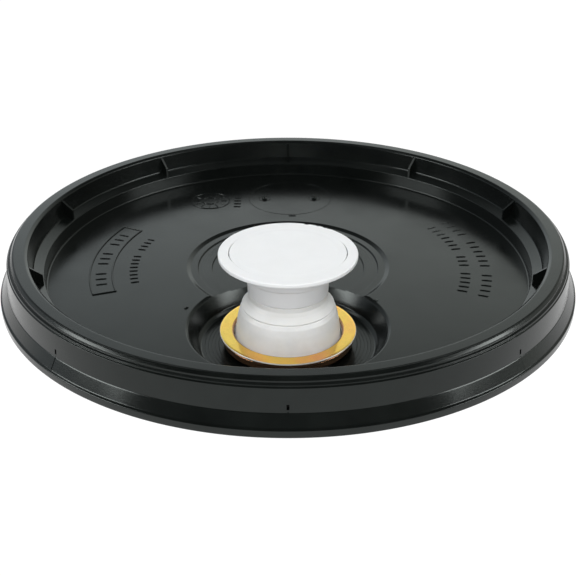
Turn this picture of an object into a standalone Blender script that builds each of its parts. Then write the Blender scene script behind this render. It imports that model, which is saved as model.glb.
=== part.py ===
"""Pail cover with a pull-up pouring spout, for a 20 litre (5 gallon) plastic pail.

A moulded cover clips over the pail's lip and seals on a gasket in its rim channel. In a
round recess a collar carries the spout: a soft moulding wrapped over the collar and held
by a crimped steel ring. Two bails pull the spout up and its bell turns inside out; the
screw cap then comes off its neck, and a tear seal with a pull ring is under it.

Units are metres. Heights are measured from the bottom edge of the cover's skirt, and the
cover's own empty lowers the whole assembly so that the world's origin is at the centre of
the ring that the pail's lip bears on. +Z is up, and the spout stands towards -Y.
"""

from math import asin, cos, pi, radians, sin

import bmesh
import bpy
from mathutils import Matrix

MM = 0.001

# ---- clearances ----
GAP = 0.3 * MM  # between pieces that touch

# ---- edges ----
EDGE = 0.5 * MM  # bevel on moulded edges
FINE_EDGE = 0.3 * MM  # bevel on the spout's and the cap's edges
CORNER = 0.8 * MM  # bevel in inner corners
SUNK = 0.7 * MM  # how far a web is sunk into the wall that it stands on
CUT_OVER = 4.0 * MM  # how far a cutter runs past the surface that it cuts

# ---- cover: panel and rim ----
COVER_STEPS = 64
SKIRT_R = 155.0 * MM  # outside of the bottom lip
LIP_H = 4.1 * MM
LIP_T = 2.2 * MM
FLARE_RUN = 4.2 * MM  # how far the band's foot stands inside the lip
CREASE_Z = 11.2 * MM
BAND_TAPER = 1.4 * MM  # the band leans in by this much towards the top
RIM_Z = 25.7 * MM  # crown of the rim
RIM_W = 10.7 * MM  # over the crown, from the inner wall to the band
RIM_ROUND = 2.2 * MM
RIM_EDGE = 1.2 * MM  # bevel at the top of the inner wall
BAND_DROP = 3.8 * MM  # from the crown to the top of the flat band
CREASE_ROUND = 1.0 * MM
CREASE_STEP = 0.4 * MM
WALL = 2.2 * MM
INNER_WALL_DRAFT = 1.9 * MM
LEDGE_Z = 14.7 * MM  # foot of the inner wall
LEDGE_W = 5.5 * MM
LEDGE_DROP = 2.2 * MM
PANEL_Z = 4.7 * MM  # top of the panel
SNAP_BEAD_Z = 9.0 * MM
SNAP_BEAD_H = 0.9 * MM
SNAP_BEAD_SLOPE = 2.0 * MM  # height of its upper side
SKIRT_CORNERS = ((0.2 * MM, 1.6 * MM), (0.4 * MM, 3.4 * MM))  # run, drop inside the flare
LEDGE_BACK_DROP = 1.2 * MM  # the ledge's underside stands this far below it at the inner wall
LEDGE_NOSE_DROP = 1.6 * MM  # and this far at the riser

# ---- gussets and tear openings ----
GUSSETS = 10
GUSSET_T = 1.3 * MM
GUSSET_RUN = 6.5 * MM
GUSSET_DROP = 5.8 * MM
TEAR_OPENINGS = 8
TEAR_W = 1.2 * MM
TEAR_H = 2.5 * MM
TEAR_Z = 11.7 * MM

# ---- central dish ----
DISH_R = 55.0 * MM
DISH_STEPS = ((0.9 * MM, 2.6 * MM), (0.7 * MM, 1.0 * MM), (0.6 * MM, 1.0 * MM))  # drop, run
DISH_TREADS = (2.5 * MM, 7.0 * MM)  # width of the terrace below each of the first steps
DISH_LIP = 0.3  # the cutter's first slope runs on by this share, up past the panel

# ---- front recess and its collar ----
SPOUT_STEPS = 40
FINGER_ROOM = 10.7 * MM  # on the recess's floor, round the steel ring
RECESS_DRAFT = 4.4 * MM  # the recess's wall leans out by this much
RECESS_MARGIN = 15.3 * MM  # between the recess and the panel's edge
RECESS_DEPTH = 10.7 * MM
RECESS_ROUND = 1.4 * MM
RECESS_FOOT = 1.6 * MM  # height of the bevel where the recess's wall meets its floor
RECESS_FOOT_RUN = (0.5 * MM, 1.4 * MM)  # that bevel's outer and inner end
RECESS_BODY_FOOT = 0.4 * MM
COLLAR_BORE_R = 28.1 * MM
COLLAR_T = 1.2 * MM
COLLAR_H = 6.3 * MM
COLLAR_BEAD_W = 0.9 * MM
COLLAR_BEAD_H = 2.8 * MM
COLLAR_BEAD_SLOPE = 0.6 * MM

# ---- gasket ----
GASKET_H = 2.4 * MM

# ---- spout moulding ----
FLANGE_T = 1.2 * MM
HEM_RISE = 1.0 * MM  # the flange's hem ends this far above the ring's crimp
HEM_RUN = 1.2 * MM
HEM_DROP = 0.8 * MM  # its inner edge, below the collar's bead
LEG_T = 1.0 * MM
LEG_H = 3.5 * MM
BELL_T = 0.9 * MM
BELL_H = 19.4 * MM
BELL_RISE = 0.2 * MM  # from the leg's bottom edge to the bell's foot
BELL_OVERHANG = 0.35 * MM  # the bell's top stands out this far past the neck's foot
NECK_R = 17.4 * MM  # outside, below the thread
NECK_T = 1.4 * MM
NECK_H = 17.3 * MM  # the threaded part
SHOULDER_STEP = 2.1 * MM  # the shoulder's top is this much wider than the neck
SHOULDER_H = 2.4 * MM  # its upright part
SHOULDER_RUN = 3.1 * MM  # its cone, outward
SHOULDER_CONE_H = 5.1 * MM
SHOULDER_FILLET = (0.8 * MM, 1.6 * MM)  # run, drop from the upright part to the cone
NECK_FOOT_W = 1.0 * MM
NECK_FOOT_EDGE = 0.2 * MM

# ---- retaining ring ----
RING_T = 0.5 * MM
RING_OVERHANG = 1.4 * MM  # its folded edge stands out past its wall
RING_HEM_T = 1.1 * MM  # thickness of the folded edge
RING_HEM_ROUND = 0.4 * MM
RING_LIP_ROUND = 1.3 * MM  # the edge of its hole turns down in this radius
RING_BEAD_W = 0.6 * MM
RING_BEAD_Z = (0.4 * MM, 0.9 * MM, 1.5 * MM, 2.0 * MM)  # its corners, below the folded edge
RING_CRIMP_H = 1.7 * MM
RING_CRIMP_RUN = 1.5 * MM
RING_CRIMP_T = 0.35 * MM

# ---- cap, bails, liner ----
CAP_DISC_T = 2.2 * MM
CAP_CROWN_T = 1.9 * MM
CAP_CONE_INSET = 2.1 * MM  # from the disc's edge to the top of the cone under it
CAP_COLLAR_STEP = 0.7 * MM  # the collar is this much wider than the skirt
CAP_COLLAR_DROP = 7.4 * MM  # from the cap's top to the collar's
CAP_COLLAR_H = 4.2 * MM
CAP_SKIRT_T = 1.4 * MM
BAIL_INSET = 0.3 * MM  # inside the steel ring's edge, which the lowered bails lie over
BAIL_W = 5.15 * MM
BAIL_SLIT = 0.35 * MM
EAR_W = 3.4 * MM
EAR_ROOT = 1.5 * MM  # how far an ear reaches into the disc
EAR_EDGE = 0.1 * MM  # an ear stands this far inside the bails' and the disc's faces
CONE_EDGE = 0.2 * MM
CONE_FILLET = 1.6 * MM
SKIRT_TAPER = 0.35 * MM
LINER_T = 0.8 * MM
LINER_GAP = 0.4 * MM  # between the liner and the neck's top

# ---- cap thread ----
THREAD_PITCH = 4.0 * MM
THREAD_TURNS = 1.5
THREAD_R = 0.7 * MM
THREAD_ROOM = 1.2 * MM  # between the neck and the cap's bore, where both threads stand
THREAD_DROP = 3.7 * MM  # from the neck's top to the end of its thread
THREAD_POINTS = 24  # a turn

# ---- tear seal and its pull ring ----
SEAL_RISE = 3.1 * MM  # above the shoulder's top
SEAL_T = 0.9 * MM
PULL_RING_INSET = 5.5 * MM  # from the neck's bore to the ring's centre line
PULL_RING_RISE = 6.0 * MM  # from the seal's underside to the ring's centre line
PULL_RING_T = 1.1 * MM
PULL_POST_W = 3.0 * MM
PULL_POST_T = 1.54 * MM
PULL_RING_POINTS = 32

# ---- derived ----
BAND_FOOT_R = SKIRT_R - FLARE_RUN
BAND_TOP_R = BAND_FOOT_R - BAND_TAPER
RIM_INNER_R = BAND_TOP_R - RIM_W
LEDGE_R = RIM_INNER_R - INNER_WALL_DRAFT
PANEL_R = LEDGE_R - LEDGE_W
CHANNEL_TOP_Z = RIM_Z - WALL
CHANNEL_IN_R = RIM_INNER_R + WALL
CHANNEL_OUT_R = BAND_TOP_R - WALL
SEAT_Z = CHANNEL_TOP_Z - GAP - GASKET_H
RECESS_FLOOR_Z = PANEL_Z - RECESS_DEPTH
COLLAR_R = COLLAR_BORE_R + COLLAR_T
COLLAR_TOP_Z = RECESS_FLOOR_Z + COLLAR_H
BEAD_R = COLLAR_R + COLLAR_BEAD_W
BEAD_FOOT_Z = COLLAR_TOP_Z - COLLAR_BEAD_H
FLANGE_R = BEAD_R + GAP + FLANGE_T
FLANGE_TOP_Z = COLLAR_TOP_Z + GAP + FLANGE_T
RING_WALL_R = FLANGE_R + GAP + RING_T
RING_R = RING_WALL_R + RING_OVERHANG
RING_TOP_Z = FLANGE_TOP_Z + GAP + RING_T
RING_SIDE_BOTTOM_Z = BEAD_FOOT_Z - GAP
RING_CRIMP_Z = RING_SIDE_BOTTOM_Z - RING_CRIMP_H
RECESS_FLOOR_R = RING_R + FINGER_ROOM
RECESS_R = RECESS_FLOOR_R + RECESS_DRAFT
SPOUT_Y = RECESS_R + RECESS_MARGIN - PANEL_R
LEG_R = COLLAR_BORE_R - GAP
LEG_INNER_R = LEG_R - LEG_T
LEG_BOTTOM_Z = COLLAR_TOP_Z - LEG_H
RING_LIP_R = LEG_INNER_R
BELL_FOOT_R = LEG_INNER_R - GAP
BELL_FOOT_Z = LEG_BOTTOM_Z + BELL_RISE
BELL_TOP_Z = BELL_FOOT_Z + BELL_H
SHOULDER_R = NECK_R + SHOULDER_STEP
NECK_FOOT_R = SHOULDER_R + SHOULDER_RUN
SHOULDER_Z = BELL_TOP_Z + SHOULDER_CONE_H
NECK_STEP_Z = SHOULDER_Z + SHOULDER_H
NECK_TOP_Z = NECK_STEP_Z + NECK_H
NECK_BORE_R = NECK_R - NECK_T
THREAD_Z = NECK_TOP_Z - THREAD_DROP - THREAD_PITCH * (THREAD_TURNS + 0.5)
SEAL_Z = NECK_STEP_Z + SEAL_RISE
PULL_RING_R = NECK_BORE_R - PULL_RING_INSET
PULL_RING_Z = SEAL_Z + PULL_RING_RISE
LINER_Z = NECK_TOP_Z + LINER_GAP
CAP_TOP_Z = LINER_Z + LINER_T + GAP + CAP_CROWN_T
CAP_BORE_R = NECK_R + THREAD_ROOM
CAP_SKIRT_R = CAP_BORE_R + CAP_SKIRT_T
CAP_COLLAR_R = CAP_SKIRT_R + CAP_COLLAR_STEP
CAP_COLLAR_TOP_Z = CAP_TOP_Z - CAP_COLLAR_DROP
CAP_COLLAR_Z = CAP_COLLAR_TOP_Z - CAP_COLLAR_H
BAIL_R = RING_R - BAIL_INSET
CAP_DISC_R = BAIL_R - BAIL_W - BAIL_SLIT
CAP_CONE_R = CAP_DISC_R - CAP_CONE_INSET


def arc(centre_r, centre_z, radius, start, end, count):
    """Points on an arc of a turned profile, with its angles in degrees from +X."""
    turns = [radians(start + (end - start) * i / count) for i in range(count + 1)]
    return [(centre_r + radius * cos(t), centre_z + radius * sin(t)) for t in turns]


# ---- scene, collections, materials ----


def clear_scene():
    for obj in list(bpy.data.objects):
        bpy.data.objects.remove(obj, do_unlink=True)


def new_collection(name):
    collection = bpy.data.collections.new(name)
    bpy.context.scene.collection.children.link(collection)
    return collection


def principled(name, colour, roughness, metallic=0.0):
    material = bpy.data.materials.new(name)
    material.use_nodes = True
    shader = material.node_tree.nodes["Principled BSDF"]
    shader.inputs["Base Color"].default_value = (*colour, 1.0)
    shader.inputs["Roughness"].default_value = roughness
    shader.inputs["Metallic"].default_value = metallic
    return material


def new_empty(name, collection, parent=None, location=(0, 0, 0)):
    empty = bpy.data.objects.new(name, None)
    empty.location = location
    empty.parent = parent
    collection.objects.link(empty)
    return empty


def add_object(name, mesh, collection, parent, material=None):
    obj = bpy.data.objects.new(name, mesh)
    collection.objects.link(obj)
    obj.parent = parent
    if material:
        mesh.materials.append(material)
    return obj


def as_cutter(obj):
    obj.hide_render = True
    obj.display_type = "WIRE"
    return obj


# ---- shape builders ----


def turned(name, profile, steps, collection, parent, material=None):
    """A profile of (radius, height) points turned about Z, its outer side running down.

    A profile that starts and ends on the axis is open there; any other one is a loop.
    """
    mesh = bpy.data.meshes.new(name)
    on_axis = profile[0][0] == 0 and profile[-1][0] == 0
    edges = [(i, i + 1) for i in range(len(profile) - 1)]
    if not on_axis:
        edges.append((len(profile) - 1, 0))
    mesh.from_pydata([(r, 0, z) for r, z in profile], edges, [])
    obj = add_object(name, mesh, collection, parent, material)
    screw = obj.modifiers.new("turn", "SCREW")
    screw.axis = "Z"
    screw.angle = 2 * pi
    screw.steps = steps
    screw.render_steps = steps
    screw.use_merge_vertices = True
    screw.merge_threshold = 1e-6
    screw.use_smooth_shade = False
    return obj


def box(bm, size, centre, turn=None):
    """A box of the given sides in bm, turned about the world's Z after it is placed."""
    made = bmesh.ops.create_cube(bm, size=1.0)
    spin = turn or Matrix.Identity(4)
    place = spin @ Matrix.Translation(centre) @ Matrix.Diagonal((*size, 1))
    bmesh.ops.transform(bm, matrix=place, verts=made["verts"])


def mesh_from(name, bm):
    mesh = bpy.data.meshes.new(name)
    bm.to_mesh(mesh)
    bm.free()
    return mesh


def plate_mesh(name, outline, thickness, turns):
    """Flat outlines of (along, up) points, thickened and turned about Z by each angle."""
    bm = bmesh.new()
    for turn in turns:
        spin = Matrix.Rotation(turn, 4, "Z")
        verts = [bm.verts.new(spin @ Matrix.Translation((a, -thickness / 2, u)).to_translation())
                 for a, u in outline]
        face = bm.faces.new(verts)
        grown = bmesh.ops.extrude_face_region(bm, geom=[face])
        moved = [item for item in grown["geom"] if isinstance(item, bmesh.types.BMVert)]
        across = spin.to_3x3().col[1] * thickness
        bmesh.ops.translate(bm, vec=across, verts=moved)
    bmesh.ops.recalc_face_normals(bm, faces=bm.faces)
    return mesh_from(name, bm)


def tube(name, points, radius, sides, collection, parent, cyclic=False):
    """A round rod along the points, as a mesh with its caps welded."""
    curve = bpy.data.curves.new(name + "_path", "CURVE")
    curve.dimensions = "3D"
    curve.bevel_depth = radius
    curve.bevel_resolution = sides
    curve.use_fill_caps = not cyclic
    spline = curve.splines.new("POLY")
    spline.points.add(len(points) - 1)
    spline.use_cyclic_u = cyclic
    for point, place in zip(spline.points, points):
        point.co = (*place, 1)
    path = bpy.data.objects.new(name + "_path", curve)
    collection.objects.link(path)
    path.parent = parent
    bpy.context.view_layer.update()
    graph = bpy.context.evaluated_depsgraph_get()
    mesh = bpy.data.meshes.new_from_object(path.evaluated_get(graph))
    bpy.data.objects.remove(path, do_unlink=True)
    bpy.data.curves.remove(curve)
    bm = bmesh.new()
    bm.from_mesh(mesh)
    bmesh.ops.remove_doubles(bm, verts=bm.verts, dist=1e-6)
    bmesh.ops.recalc_face_normals(bm, faces=bm.faces)
    bm.to_mesh(mesh)
    bm.free()
    return add_object(name, mesh, collection, parent)


def boolean(obj, other, operation):
    modifier = obj.modifiers.new(other.name, "BOOLEAN")
    modifier.operation = operation
    modifier.solver = "EXACT"
    modifier.object = other


# ---- the cover ----


def dish_profile():
    """The dish's surface from its rounded edge inward, as (radius, height) points."""
    radius = DISH_R
    height = PANEL_Z
    points = [(radius, height)]
    for i, (drop, run) in enumerate(DISH_STEPS):
        radius -= run
        height -= drop
        points.append((radius, height))
        if i < len(DISH_TREADS):
            radius -= DISH_TREADS[i]
            points.append((radius, height))
    return points


def cover_profile():
    """Crown, band, lip, channel and underside. The panel's top is flat here."""
    top = [
        (0.0, PANEL_Z),
        (PANEL_R, PANEL_Z),
        (PANEL_R, LEDGE_Z - LEDGE_DROP),
        (LEDGE_R, LEDGE_Z),
        (RIM_INNER_R, RIM_Z - RIM_EDGE),
        (RIM_INNER_R + RIM_EDGE, RIM_Z),
    ]
    crown = arc(BAND_TOP_R - RIM_ROUND, RIM_Z - RIM_ROUND, RIM_ROUND, 90, 10, 3)
    outside = [
        (BAND_TOP_R, RIM_Z - BAND_DROP),
        (BAND_FOOT_R, CREASE_Z + CREASE_ROUND),
        (BAND_FOOT_R + CREASE_STEP, CREASE_Z - CREASE_ROUND),
        (SKIRT_R - EDGE, LIP_H),
        (SKIRT_R, LIP_H - EDGE),
        (SKIRT_R, EDGE),
        (SKIRT_R - EDGE, 0.0),
        (SKIRT_R - LIP_T, 0.0),
    ]
    inside_r = BAND_FOOT_R - WALL
    lip_corner, flare_corner = SKIRT_CORNERS
    inside = [
        (SKIRT_R - LIP_T - lip_corner[0], LIP_H - lip_corner[1]),
        (inside_r + flare_corner[0], CREASE_Z - flare_corner[1]),
        (inside_r - SNAP_BEAD_H, SNAP_BEAD_Z),
        (inside_r, SNAP_BEAD_Z + SNAP_BEAD_SLOPE),
        (CHANNEL_OUT_R, CHANNEL_TOP_Z),
        (CHANNEL_IN_R, CHANNEL_TOP_Z),
        (LEDGE_R + WALL, LEDGE_Z - LEDGE_BACK_DROP),
        (PANEL_R + WALL, LEDGE_Z - LEDGE_DROP - LEDGE_NOSE_DROP),
        (PANEL_R + WALL, PANEL_Z - WALL + CORNER),
        (PANEL_R + WALL - CORNER, PANEL_Z - WALL),
    ]
    below = [(r, z - WALL) for r, z in dish_profile()]
    return top + crown + outside + inside + below + [(0.0, below[-1][1])]


def recess_body(cutters, spout):
    """What the recess hangs from: a cup with no hollow yet, up to inside the panel."""
    profile = [
        (0.0, PANEL_Z - WALL / 2),
        (RECESS_R + WALL, PANEL_Z - WALL / 2),
        (RECESS_FLOOR_R + WALL, RECESS_FLOOR_Z - RECESS_BODY_FOOT),
        (RECESS_FLOOR_R, RECESS_FLOOR_Z - WALL),
        (0.0, RECESS_FLOOR_Z - WALL),
    ]
    return as_cutter(turned("recess_body", profile, COVER_STEPS, cutters, spout))


def recess_cavity(cutters, spout):
    """The recess's hollow, from its rounded edge round the collar and down its bore."""
    above = PANEL_Z + CUT_OVER
    below = RECESS_FLOOR_Z - CUT_OVER
    foot_out, foot_in = RECESS_FOOT_RUN
    edge = arc(RECESS_R + RECESS_ROUND, PANEL_Z - RECESS_ROUND, RECESS_ROUND, 100, 175, 3)
    profile = [
        (0.0, above),
        (edge[0][0], above),
        *edge,
        (RECESS_FLOOR_R + foot_out, RECESS_FLOOR_Z + RECESS_FOOT),
        (RECESS_FLOOR_R - foot_in, RECESS_FLOOR_Z),
        (COLLAR_R, RECESS_FLOOR_Z),
        (COLLAR_R, BEAD_FOOT_Z - COLLAR_BEAD_SLOPE),
        (BEAD_R, BEAD_FOOT_Z),
        (BEAD_R, COLLAR_TOP_Z - EDGE),
        (BEAD_R - EDGE, COLLAR_TOP_Z),
        (COLLAR_BORE_R, COLLAR_TOP_Z),
        (COLLAR_BORE_R, below),
        (0.0, below),
    ]
    return as_cutter(turned("recess_cavity", profile, SPOUT_STEPS, cutters, spout))


def dish_cavity(cutters, origin):
    above = PANEL_Z + CUT_OVER
    surface = dish_profile()
    drop, run = DISH_STEPS[0]
    lip = (DISH_R + run * DISH_LIP, PANEL_Z + drop * DISH_LIP)
    profile = [(0.0, above), (lip[0], above), lip, *surface[1:], (0.0, surface[-1][1])]
    return as_cutter(turned("dish_cavity", profile, COVER_STEPS, cutters, origin))


def gusset_webs(cutters, origin):
    """Radial webs between the inner wall and the ledge, one of them at the back."""
    nose = RIM_INNER_R - GUSSET_RUN
    top = RIM_Z - RIM_EDGE
    outline = [
        (nose, LEDGE_Z - LEDGE_DROP - SUNK / 2),
        (nose, top - GUSSET_DROP),
        (RIM_INNER_R + SUNK, top - EDGE / 2),
        (LEDGE_R + SUNK, LEDGE_Z - SUNK),
    ]
    turns = [pi / 2 + 2 * pi * i / GUSSETS for i in range(GUSSETS)]
    mesh = plate_mesh("gusset_webs", outline, GUSSET_T, turns)
    return as_cutter(add_object("gusset_webs", mesh, cutters, origin))


def tear_slots(cutters, origin):
    """Slots through the band just above its crease, where the skirt is torn off."""
    bm = bmesh.new()
    for i in range(TEAR_OPENINGS):
        spin = Matrix.Rotation(-pi / 2 + 2 * pi * i / TEAR_OPENINGS, 4, "Z")
        size = (4 * WALL, TEAR_W, TEAR_H)
        box(bm, size, (BAND_FOOT_R, 0, TEAR_Z + TEAR_H / 2), spin)
    return as_cutter(add_object("tear_slots", mesh_from("tear_slots", bm), cutters, origin))


def build_cover(parts, cutters, origin, spout):
    black = principled("black_hdpe", (0.012, 0.013, 0.013), 0.25)
    cover = turned("pail_cover", cover_profile(), COVER_STEPS, parts, origin, black)
    boolean(cover, recess_body(cutters, spout), "UNION")
    boolean(cover, dish_cavity(cutters, origin), "DIFFERENCE")
    boolean(cover, recess_cavity(cutters, spout), "DIFFERENCE")
    boolean(cover, gusset_webs(cutters, origin), "UNION")
    boolean(cover, tear_slots(cutters, origin), "DIFFERENCE")


def build_gasket(parts, origin):
    foam = principled("gasket_foam", (0.62, 0.62, 0.60), 0.8)
    inner = CHANNEL_IN_R + GAP
    outer = CHANNEL_OUT_R - GAP
    top = SEAT_Z + GASKET_H
    profile = [(inner, top), (outer, top), (outer, SEAT_Z), (inner, SEAT_Z)]
    turned("rim_gasket", profile, COVER_STEPS, parts, origin, foam)


# ---- the spout ----


def build_ring(parts, spout):
    """Pressed from sheet: hole edge turned down, outer edge folded, wall beaded and crimped."""
    gold = principled("zinc_gold", (0.80, 0.55, 0.16), 0.28, 1.0)
    top = RING_TOP_Z
    hem_z = top - RING_HEM_T
    lip = (RING_LIP_R + RING_LIP_ROUND, top - RING_LIP_ROUND)
    bead = [hem_z - drop for drop in RING_BEAD_Z]
    crimp_out = (RING_WALL_R - RING_CRIMP_RUN, RING_CRIMP_Z)
    crimp_in = (crimp_out[0] - RING_CRIMP_T, RING_CRIMP_Z + RING_CRIMP_T)
    inner_r = RING_WALL_R - RING_T
    profile = [
        *arc(*lip, RING_LIP_ROUND, 180, 90, 3),
        (RING_R - RING_HEM_ROUND, top),
        (RING_R, top - RING_HEM_ROUND),
        (RING_R, hem_z + RING_HEM_ROUND),
        (RING_R - RING_HEM_ROUND, hem_z),
        (RING_WALL_R, hem_z),
        (RING_WALL_R, bead[0]),
        (RING_WALL_R + RING_BEAD_W, bead[1]),
        (RING_WALL_R + RING_BEAD_W, bead[2]),
        (RING_WALL_R, bead[3]),
        (RING_WALL_R, RING_SIDE_BOTTOM_Z),
        crimp_out,
        crimp_in,
        (inner_r, RING_SIDE_BOTTOM_Z + RING_T / 2),
        (inner_r, bead[3]),
        (inner_r + RING_BEAD_W, bead[2]),
        (inner_r + RING_BEAD_W, bead[1]),
        (inner_r, bead[0]),
        (inner_r, top - RING_T),
        *arc(*lip, RING_LIP_ROUND - RING_T, 90, 180, 3),
    ]
    turned("retaining_ring", profile, SPOUT_STEPS, parts, spout, gold)


def build_flange(parts, spout, white):
    """The fixed base of the moulding: over the collar, under the ring, down the bore."""
    groove = (RING_LIP_R + RING_LIP_ROUND, RING_TOP_Z - RING_LIP_ROUND)
    groove_z = RING_TOP_Z - RING_LIP_ROUND - GAP
    groove_round = RING_LIP_ROUND - RING_T - GAP
    hem_out = (FLANGE_R - HEM_RUN, RING_CRIMP_Z + HEM_RISE)
    hem_in = (BEAD_R, BEAD_FOOT_Z - HEM_DROP)
    profile = [
        (groove[0], FLANGE_TOP_Z),
        (FLANGE_R - EDGE, FLANGE_TOP_Z),
        (FLANGE_R, FLANGE_TOP_Z - EDGE),
        (FLANGE_R, RING_SIDE_BOTTOM_Z + GAP),
        hem_out,
        hem_in,
        (BEAD_R + GAP, BEAD_FOOT_Z),
        (BEAD_R + GAP, COLLAR_TOP_Z + GAP),
        (LEG_R, COLLAR_TOP_Z + GAP),
        (LEG_R, LEG_BOTTOM_Z),
        (LEG_INNER_R, LEG_BOTTOM_Z),
        (LEG_INNER_R, groove_z),
        (groove[0] - groove_round, groove_z),
        (groove[0] - groove_round, groove[1]),
    ]
    turned("spout_flange", profile, SPOUT_STEPS, parts, spout, white)


def bell_outline(inset):
    """The bell's side from the top down, moved towards the axis by inset."""
    top_r = NECK_FOOT_R + BELL_OVERHANG
    shares = (1.0, 0.9, 0.7, 0.38, 0.0)
    spread = (0.0, 0.22, 0.48, 0.77, 1.0)
    return [
        (top_r + (BELL_FOOT_R - top_r) * out - inset, BELL_FOOT_Z + BELL_H * up)
        for up, out in zip(shares, spread)
    ]


def build_bell(parts, spout, white):
    outside = bell_outline(0.0)
    inside = bell_outline(BELL_T)[::-1]
    turned("spout_bell", outside + inside, SPOUT_STEPS, parts, spout, white)


def helix(radius, start_z):
    count = int(THREAD_POINTS * THREAD_TURNS)
    points = []
    for i in range(count + 1):
        turn = 2 * pi * i / THREAD_POINTS
        height = start_z + THREAD_PITCH * i / THREAD_POINTS
        points.append((radius * cos(turn), radius * sin(turn), height))
    return points


def build_neck(parts, cutters, lift, white):
    foot_z = BELL_TOP_Z + GAP
    run, drop = SHOULDER_FILLET
    profile = [
        (NECK_BORE_R, NECK_TOP_Z),
        (NECK_R, NECK_TOP_Z),
        (NECK_R, NECK_STEP_Z),
        (SHOULDER_R, NECK_STEP_Z),
        (SHOULDER_R, SHOULDER_Z),
        (SHOULDER_R + run, SHOULDER_Z - drop),
        (NECK_FOOT_R, foot_z + FINE_EDGE),
        (NECK_FOOT_R - NECK_FOOT_EDGE, foot_z),
        (NECK_FOOT_R - NECK_FOOT_EDGE - NECK_FOOT_W, foot_z),
        (NECK_BORE_R, SHOULDER_Z - CORNER),
    ]
    neck = turned("spout_neck", profile, SPOUT_STEPS, parts, lift, white)
    path = helix(NECK_R, THREAD_Z + THREAD_PITCH / 2)
    thread = as_cutter(tube("neck_thread", path, THREAD_R, 2, cutters, lift))
    boolean(neck, thread, "UNION")


def build_seal(parts, cutters, lift, white):
    """The membrane that closes the neck, and the ring that tears it out."""
    radius = NECK_BORE_R - GAP
    disc = [(0.0, SEAL_Z + SEAL_T), (radius, SEAL_Z + SEAL_T), (radius, SEAL_Z), (0.0, SEAL_Z)]
    turned("tear_seal", disc, SPOUT_STEPS, parts, lift, white)
    loop = [
        (PULL_RING_R * cos(turn), PULL_RING_R * sin(turn), PULL_RING_Z)
        for turn in (2 * pi * i / PULL_RING_POINTS for i in range(PULL_RING_POINTS))
    ]
    ring = tube("pull_ring", loop, PULL_RING_T, 2, parts, lift, cyclic=True)
    ring.data.materials.append(white)
    bottom = SEAL_Z + SEAL_T + GAP
    bm = bmesh.new()
    height = PULL_RING_Z - bottom
    centre = (0, -PULL_RING_R, bottom + height / 2)
    box(bm, (PULL_POST_W, PULL_POST_T, height), centre)
    post = as_cutter(add_object("pull_post", mesh_from("pull_post", bm), cutters, lift))
    boolean(ring, post, "UNION")


def build_cap(parts, cutters, cap_axis, white):
    underside = CAP_TOP_Z - CAP_DISC_T
    inner_top = CAP_TOP_Z - CAP_CROWN_T
    foot_z = NECK_STEP_Z + GAP
    profile = [
        (0.0, CAP_TOP_Z),
        (CAP_DISC_R - FINE_EDGE, CAP_TOP_Z),
        (CAP_DISC_R, CAP_TOP_Z - FINE_EDGE),
        (CAP_DISC_R, underside),
        (CAP_CONE_R, underside - CONE_EDGE),
        (CAP_COLLAR_R + CONE_FILLET, CAP_COLLAR_TOP_Z + CONE_FILLET),
        (CAP_COLLAR_R, CAP_COLLAR_TOP_Z),
        (CAP_COLLAR_R, CAP_COLLAR_Z),
        (CAP_SKIRT_R, CAP_COLLAR_Z - EDGE),
        (CAP_SKIRT_R - SKIRT_TAPER, foot_z + FINE_EDGE),
        (CAP_SKIRT_R - SKIRT_TAPER - FINE_EDGE, foot_z),
        (CAP_BORE_R, foot_z),
        (CAP_BORE_R, inner_top),
        (0.0, inner_top),
    ]
    cap = turned("screw_cap", profile, SPOUT_STEPS, parts, cap_axis, white)
    path = helix(CAP_BORE_R, THREAD_Z)
    thread = as_cutter(tube("cap_thread", path, THREAD_R, 2, cutters, cap_axis))
    boolean(cap, thread, "UNION")
    bm = bmesh.new()
    root = CAP_DISC_R - EAR_ROOT
    length = BAIL_R - EAR_EDGE - root
    for side in (-1, 1):
        centre = (0, side * (root + length / 2), CAP_TOP_Z - CAP_DISC_T / 2)
        box(bm, (EAR_W, length, CAP_DISC_T - 2 * EAR_EDGE), centre)
    ears = as_cutter(add_object("cap_ears", mesh_from("cap_ears", bm), cutters, cap_axis))
    boolean(cap, ears, "UNION")


def build_liner(parts, lift, white):
    radius = CAP_BORE_R - GAP
    top = LINER_Z + LINER_T
    disc = [(0.0, top), (radius, top), (radius, LINER_Z), (0.0, LINER_Z)]
    turned("cap_liner", disc, SPOUT_STEPS, parts, lift, white)


def bail_outline(side):
    """Half a flat ring on one side of the hinge, as (x, y) points from the cap's axis."""
    inner = CAP_DISC_R + BAIL_SLIT
    hinge_x = EAR_W / 2 + GAP
    count = SPOUT_STEPS // 2
    points = []
    for radius, forward in ((BAIL_R, True), (inner, False)):
        half = pi / 2 - asin(hinge_x / radius)
        steps = range(count + 1) if forward else range(count, -1, -1)
        for i in steps:
            turn = -half + 2 * half * i / count
            points.append((side * radius * cos(turn), side * radius * sin(turn)))
    return points


def build_bail(name, side, parts, cap_axis, white):
    """A half-ring handle; its hinge runs along Y at the top of the cap, beside the ear."""
    hinge_x = side * (EAR_W / 2 + GAP)
    hinge = new_empty(name + "_hinge", parts, cap_axis, (hinge_x, 0, CAP_TOP_Z))
    bm = bmesh.new()
    verts = [bm.verts.new((x - hinge_x, y, -CAP_DISC_T)) for x, y in bail_outline(side)]
    face = bm.faces.new(verts)
    grown = bmesh.ops.extrude_face_region(bm, geom=[face])
    moved = [item for item in grown["geom"] if isinstance(item, bmesh.types.BMVert)]
    bmesh.ops.translate(bm, vec=(0, 0, CAP_DISC_T), verts=moved)
    bmesh.ops.recalc_face_normals(bm, faces=bm.faces)
    add_object(name, mesh_from(name, bm), parts, hinge, white)


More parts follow.
